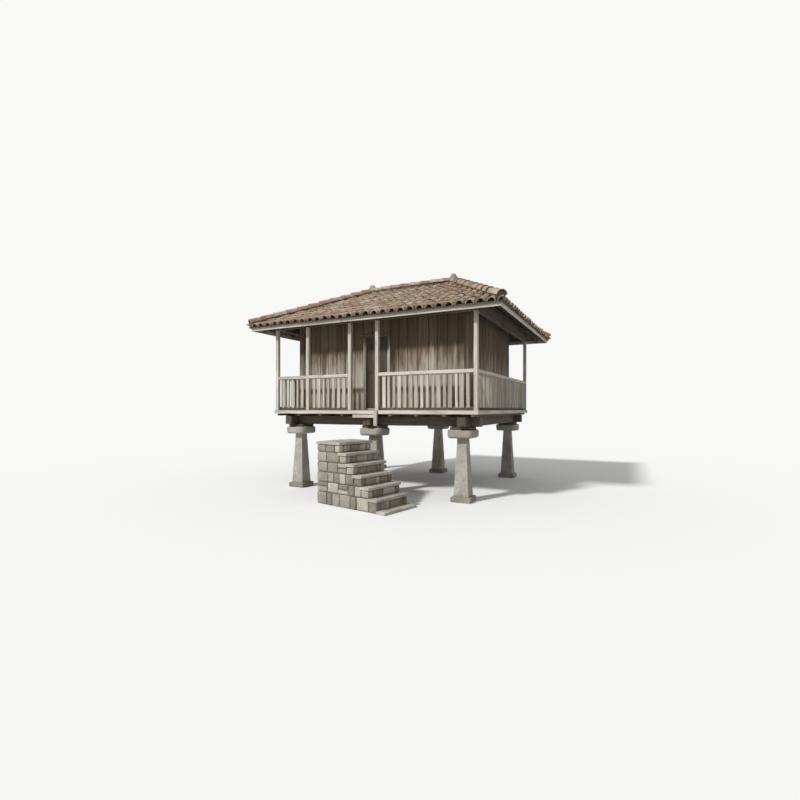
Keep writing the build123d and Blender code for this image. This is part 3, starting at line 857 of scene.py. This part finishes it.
def railing(name, node):
    """Slats of uneven width, nailed to a low rail behind them, under a handrail."""
    batch = Batch()
    for low, high in solids(node):
        size = high - low
        axis = 0 if size.x > size.y else 1
        across = 1 - axis
        level = "xy"[axis]
        mid = (low[across] + high[across]) / 2
        outside = 1 if mid > MIDDLE[across] else -1

        def bar(parts, start, end, half, bottom, top, behind=0.0, **how):
            """Wood between two places along the railing and two heights, twice half deep."""
            first = Vector((0, 0, bottom))
            last = Vector((0, 0, top))
            first[axis], last[axis] = start, end
            centre = mid - outside * behind
            first[across], last[across] = centre - half, centre + half
            timber(parts, first, last, **how)

        rail_low = high.z - HANDRAIL_HEIGHT
        bar(batch, low[axis], high[axis], 0.04, rail_low, high.z, along=level, rounding=0.008, tone=0.95)
        # The low rail is set back and made of the dark beam wood: a real rail, whose darkness is partly
        # painted shade at the slats' feet
        bar(foot_rails, low[axis], high[axis], 0.012, low.z, low.z + 0.09, 0.022, along=level)
        count = int(size[axis] / SLAT_PITCH)
        pitch = size[axis] / count
        half_thick = 0.011
        for i in range(1, count):
            centre = low[axis] + i * pitch + draw.uniform(-0.012, 0.012)
            half = draw.uniform(0.028, 0.052)
            bar(batch, centre - half, centre + half, half_thick, low.z + 0.055, rail_low + 0.004,
                along="z", rounding=0.003, wobble=0.002, lean=draw.gauss(0, 0.35))
            spot = Vector((0, 0, low.z + 0.075 + draw.uniform(-0.006, 0.006)))
            spot[axis], spot[across] = centre, mid + outside * half_thick
            nail_spots.append((spot, across, outside))
    piece(name, batch, PALE_WOOD, stands_for=[node])


def nails():
    """Forged nails with heads 18 mm wide: up to six in a plank, and one at each slat's foot."""
    bm = bmesh.new()
    bmesh.ops.create_cone(bm, cap_ends=True, segments=8, radius1=0.009, radius2=0.005, depth=0.006)
    bmesh.ops.rotate(bm, verts=bm.verts, matrix=Matrix.Rotation(0.3, 3, "Z"))
    head = Shape(bm)
    batch = Batch()
    for spot, deep, outside in nail_spots:
        outwards = Vector((0, 0, 0))
        outwards[deep] = outside
        turn = outwards.to_track_quat("Z", "Y").to_matrix().to_4x4()
        batch.place(head, Matrix.Translation(spot + outwards * 0.002) @ turn, 0.5)
    piece("forged_nails", batch, IRON)


# How far the pivots stand out of the leaf, and their radius
PIVOT_STUB = 0.031
PIVOT_RADIUS = 0.015
# Widths of the leaf's planks, as shares of the whole
DOOR_PLANKS = (0.24, 0.27, 0.22, 0.27)


def door_leaf():
    """Four upright planks with a round heel, two ledges inside, and an iron ring outside."""
    low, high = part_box("door")
    pivot = Vector(next(j for j in frame["joints"] if j["name"] == "door_hinge")["pos_m"])
    heel = (high.y - low.y) / 2
    foot_z, head_z = low.z + PIVOT_STUB, high.z - PIVOT_STUB
    left, right = low.x, pivot.x
    batch = Batch()
    start = left
    for share in DOOR_PLANKS:
        end = start + (right - left) * share
        first = Vector((start + 0.001, low.y, foot_z))
        last = Vector((end - 0.001, high.y, head_z))
        timber(batch, first, last, along="z", rounding=0.006, wobble=0.001)
        start = end
    for z in (foot_z + 0.25, head_z - 0.35):
        first = Vector((left + 0.05, high.y, z))
        last = Vector((right - 0.1, high.y + 0.028, z + 0.12))
        timber(batch, first, last, along="x", rounding=0.006, wobble=0.001)
    # Round parts are made along X like any wood, for their grain, and then set upright
    upright = Matrix.Rotation(-math.pi / 2, 4, "Y")
    for radius, z0, z1 in ((heel, foot_z, head_z), (PIVOT_RADIUS, low.z, high.z)):
        bm = bmesh.new()
        bmesh.ops.create_cone(bm, cap_ends=True, segments=20, radius1=radius, radius2=radius, depth=z1 - z0)
        bmesh.ops.rotate(bm, verts=bm.verts, matrix=Matrix.Rotation(math.pi / 2, 3, "Y"))
        batch.place(Shape(bm), Matrix.Translation((pivot.x, pivot.y, (z0 + z1) / 2)) @ upright, 0.5)
    piece("plank_door", batch, DOOR_WOOD, body=LEAF, stands_for=["door"])
    door_ring(Vector((left + 0.1, low.y, foot_z + 0.95)))


def door_ring(spot):
    """A hammered plate and a pull ring that hangs from it."""
    batch = Batch()
    bm = bmesh.new()
    bmesh.ops.create_cone(bm, cap_ends=True, segments=10, radius1=0.032, radius2=0.027, depth=0.006)
    plate = Matrix.Translation(spot + Vector((0, -0.003, 0))) @ Matrix.Rotation(math.pi / 2, 4, "X")
    batch.place(Shape(bm), plate, 0.5)
    ring_radius = 0.038
    bm = bmesh.new()
    rim = bmesh.ops.create_circle(bm, segments=8, radius=0.005)["verts"]
    bmesh.ops.translate(bm, vec=(ring_radius, 0, 0), verts=rim)
    spun_round(bm, rim + bm.edges[:], (0, 1, 0), 24)
    bmesh.ops.remove_doubles(bm, verts=bm.verts, dist=1e-5)
    bmesh.ops.recalc_face_normals(bm, faces=bm.faces)
    batch.place(Shape(bm), Matrix.Translation(spot + Vector((0, -0.009, -0.033))), 0.5)
    piece("door_pull_ring", batch, IRON, body=LEAF)


# Stair


class Stair:
    """The stair's own directions and sizes: along from the landing down, deep to the back."""

    def __init__(self):
        mesh = frame["nodes"]["stair_masonry"].data
        ground = [v.co.copy() for v in mesh.vertices if v.co.z < 1e-4]
        self.corner = min(ground, key=lambda p: p.x)
        foot = min(ground, key=lambda p: p.y)
        back = max(ground, key=lambda p: p.y)
        self.depth = (back - self.corner).length
        self.along = (foot - self.corner).normalized()
        self.deep = (back - self.corner).normalized()
        self.treads = sorted(solids("stair_treads"), key=lambda b: -b[1].z)
        landing_low, landing_high = self.treads[0]
        self.slab = landing_high.z - landing_low.z
        # The last slab lies on the ground, so there is one rise less than there are slabs
        self.riser = landing_low.z / (len(self.treads) - 1)
        places = sorted({round((v.co - self.corner).dot(self.along), 3) for v in mesh.vertices})
        # Where the masonry ends under each slab but the last, from the landing down
        self.ends = places[1:]
        self.turn = facing(self.along, self.deep, Vector((0, 0, 1)))

    def matrix(self, along, deep, z):
        spot = self.corner + self.along * along + self.deep * deep
        return Matrix.Translation((spot.x, spot.y, z)) @ self.turn


def stones_between(start, end, smallest=0.17, largest=0.36):
    """Cuts a length into stones of uneven width."""
    cuts = [start]
    while end - cuts[-1] > largest:
        cuts.append(cuts[-1] + draw.uniform(smallest, largest))
    if end - cuts[-1] < smallest * 0.7 and len(cuts) > 1:
        cuts.pop()
    return list(zip(cuts, cuts[1:] + [end]))


def stair_stones():
    """Roughly squared stones in courses on all faces of the stair, round a mortar core."""
    stair = Stair()
    batch, core = Batch(), Batch()
    # Depth of a stone, half a joint, how far back the mortar lies, how far out the stones stand
    skin = 0.16
    joint = 0.009
    hollow = 0.028
    proud = 0.002
    count = len(stair.ends)

    def stone(x0, x1, y0, y1, z0, z1):
        size = Vector((x1 - x0 - 2 * joint, y1 - y0 - 2 * joint, z1 - z0 - 2 * joint))
        shape = stone_shape(size, draw.uniform(0.018, 0.028), 0.01, 2)
        tilt = Matrix.Rotation(math.radians(draw.gauss(0, 0.9)), 4, draw.choice("XYZ"))
        middle = stair.matrix((x0 + x1) / 2, (y0 + y1) / 2, (z0 + z1) / 2)
        batch.place(shape, middle @ tilt, draw.uniform(0.1, 1))

    for course in range(count):
        # A course ends level with the top of a slab, and under that slab it stops at its bed
        z0 = stair.slab + course * stair.riser if course else 0
        z1 = stair.slab + (course + 1) * stair.riser
        slab_bed = z1 - stair.slab
        end = stair.ends[count - 1 - course]
        is_top = course == count - 1
        under_next = -proud if is_top else stair.ends[count - 2 - course]
        runs = [(under_next, end + proud, slab_bed)]
        if not is_top:
            runs.append((-proud, under_next, z1))
        core_low = z0 - stair.slab - 0.01 if course else 0
        size = Vector((end - 2 * hollow, stair.depth - 2 * hollow, slab_bed - core_low))
        block = stone_shape(size, 0.01, 0.004, 3)
        core.place(block, stair.matrix(end / 2, stair.depth / 2, (core_low + slab_bed) / 2), 0.5)
        for y0, y1 in ((-proud, skin), (stair.depth - skin, stair.depth + proud)):
            for run_start, run_end, top in runs:
                for x0, x1 in stones_between(run_start, run_end):
                    out = draw.uniform(-0.006, 0.006)
                    first, last = (y0 + out, y1) if y0 < 0 else (y0, y1 + out)
                    if draw.random() < 0.16 and top == z1:
                        bed = z0 + (z1 - z0) * draw.uniform(0.42, 0.58)
                        stone(x0, x1, first, last, z0, bed)
                        stone(x0, x1, first, last, bed, z1)
                    else:
                        stone(x0, x1, first, last, z0, top)
        for y0, y1 in stones_between(skin, stair.depth - skin):
            stone(-proud, skin, y0, y1, z0, slab_bed if is_top else z1)
            stone(end - skin, end + proud, y0, y1, z0, slab_bed)
    piece("coursed_rubble", batch, RUBBLE_STONE, stands_for=["stair_masonry"])
    piece("stair_mortar_core", core, MORTAR)


def stair_slabs():
    """Worn slabs on the landing, the steps and the ground at their foot, wider than the masonry."""
    stair = Stair()
    batch = Batch()
    overhang = 0.012
    nosing = 0.02
    starts = [0] + stair.ends + [2 * stair.ends[-1] - stair.ends[-2]]
    # The landing hangs over at its back. The steps reach under the stones of the next riser
    tucked = [overhang] + [0.03] * (len(stair.treads) - 2) + [0]
    for i, (low, high) in enumerate(stair.treads):
        x0 = starts[i] - tucked[i]
        x1 = starts[i + 1] + nosing
        size = Vector((x1 - x0, stair.depth + 2 * overhang, stair.slab))
        shape = stone_shape(size, 0.012, 0.006, 5)
        middle = stair.matrix((x0 + x1) / 2, stair.depth / 2, (low.z + high.z) / 2)
        batch.place(shape, middle, draw.uniform(0.6, 1))
    piece("worn_slabs", batch, SLAB_STONE, stands_for=["stair_treads"])


# CAD timbers that are shown as they are, by the axis that their grain follows
RUNS_ALONG_X = ("front_and_back_plates", "long_eave_beams", "rafters_left", "rafters_right",
                "ridge_and_hip_rafters")
RUNS_ALONG_Y = ("side_plates", "short_eave_beams", "rafters_front", "rafters_back")


def build():
    """Every piece of the object."""
    stone_supports()
    timbers("oak_bearing_blocks", "bearing_blocks", FRAME_WOOD, "frame_timber",
            along="x", rounding=0.012, wobble=0.006)
    timbers("hewn_main_beams", "main_beams", FRAME_WOOD, "frame_timber", rounding=0.015, wobble=0.008)
    timbers("hewn_cross_beams", "cross_beams", FRAME_WOOD, "frame_timber",
            along="y", rounding=0.015, wobble=0.008)
    timbers("sawn_joists", "floor_joists", FRAME_WOOD, "frame_timber", rounding=0.006)
    floor_planks()
    timbers("gallery_edge_boards", "floor_edge_boards", PALE_WOOD, "pale_timber", tone=0.95)
    timbers("room_corner_posts", "corner_posts", PLANK_WOOD, "wall_plank", rounding=0.012, wobble=0.004)
    plank_wall("front_wall_planks", ["front_wall_left", "front_wall_over_door", "front_wall_right"])
    for side in ("back", "left", "right"):
        plank_wall(side + "_wall_planks", [side + "_wall"])
    for part, wood in (("jambs", JAMB_WOOD), ("head", PLANK_WOOD), ("sill", JAMB_WOOD)):
        timbers("door_frame_" + part, "door_" + part, wood, "pale_timber", rounding=0.006)
    door_leaf()
    for side, tone in (("front", 0.95), ("back", 0.9)):
        timbers(side + "_gallery_posts", "gallery_posts_" + side, PALE_WOOD, "pale_timber",
                rounding=0.007, wobble=0.005, tone=tone)
    for part in ("front_left", "front_right", "back", "left", "right"):
        railing("slatted_railing_" + part, "railing_" + part)
    # The foot rails' dark wood is partly painted shade along the foot of the slats
    piece("gallery_foot_rails", foot_rails, FRAME_WOOD)
    nails()
    for nodes, finish in ((RUNS_ALONG_X, RAFTER_WOOD_X), (RUNS_ALONG_Y, RAFTER_WOOD_Y)):
        for node in nodes:
            frame["nodes"][node].data.materials[0] = finish
    timbers("eave_edge_boards", "eave_boards", PALE_WOOD, "pale_timber", tone=1.0)
    roof_boarding()
    roof_tiles()
    ridge_tiles()
    finials()
    stair_stones()
    stair_slabs()


# Floor, light and camera


def looked_at(tree):
    """1 for rays from the eye, straight or by way of a shiny or clear surface, and else 0."""
    rays = add(tree, "ShaderNodeLightPath").outputs
    either = calculate(tree, "MAXIMUM", rays["Is Camera Ray"], rays["Is Glossy Ray"])
    return calculate(tree, "MAXIMUM", either, rays["Is Transmission Ray"])


def stage():
    """A plain pale floor. It is paler to the eye than in the light that it throws back up."""
    bm = bmesh.new()
    bmesh.ops.create_circle(bm, cap_ends=True, segments=64, radius=1500)
    mesh = bpy.data.meshes.new("pale_floor")
    bm.to_mesh(mesh)
    bm.free()
    made, tree = material("pale_floor")
    colour = blend(tree, "MIX", looked_at(tree), linear("#c4c4c2"), linear("#f3f3f2"))
    inputs = {"Base Color": colour, "Roughness": 1.0, "Specular IOR Level": 0.0}
    shader = add(tree, "ShaderNodeBsdfPrincipled", inputs)
    add(tree, "ShaderNodeOutputMaterial", {"Surface": shader.outputs["BSDF"]})
    mesh.materials.append(made)
    floor = linked("pale_floor", mesh)


SKY_LIGHT = 0.48
SUN_LIGHT = 2.95
TOWARDS_SUN = Vector((-0.5, -1.0, 0.85))


def light():
    """One soft key light from the front left, and an even sky."""
    world = bpy.data.worlds.new("even_sky")
    bpy.context.scene.world = world
    world.use_nodes = True
    tree = world.node_tree
    tree.nodes.clear()
    lit = add(tree, "ShaderNodeBackground", {"Color": linear("#ffffff"), "Strength": SKY_LIGHT})
    shown = add(tree, "ShaderNodeBackground", {"Color": linear("#f8f8f7"), "Strength": 1.0})
    mixed = add(tree, "ShaderNodeMixShader", {0: looked_at(tree), 1: lit.outputs[0], 2: shown.outputs[0]})
    add(tree, "ShaderNodeOutputWorld", {"Surface": mixed.outputs[0]})
    lamp = bpy.data.lights.new("key", "SUN")
    lamp.energy = SUN_LIGHT
    lamp.angle = math.radians(6)
    key = linked("key", lamp)
    key.rotation_euler = TOWARDS_SUN.to_track_quat("Z", "Y").to_euler()


# The drawing's eye point: beside the front right corner, a little above the gallery floor
EYE_FROM_MIDDLE = Vector((5.75, -12.17, 2.117))
EYE_TURN = math.radians(26.7)
EYE_LENS = 20.4
HORIZON_SHIFT = 0.012


def camera():
    """The eye that the drawing's perspective gives."""
    made = bpy.data.cameras.new("eye")
    made.lens = EYE_LENS
    made.sensor_width = 36
    made.shift_y = HORIZON_SHIFT
    eye = linked("eye", made)
    eye.location = Vector((MIDDLE.x, MIDDLE.y, 0)) + EYE_FROM_MIDDLE
    eye.rotation_euler = (math.pi / 2, 0, EYE_TURN)
    bpy.context.scene.camera = eye


build()
stage()
light()
camera()
bpy.context.scene.view_settings.view_transform = "Standard"

bpy.context.view_layer.update()
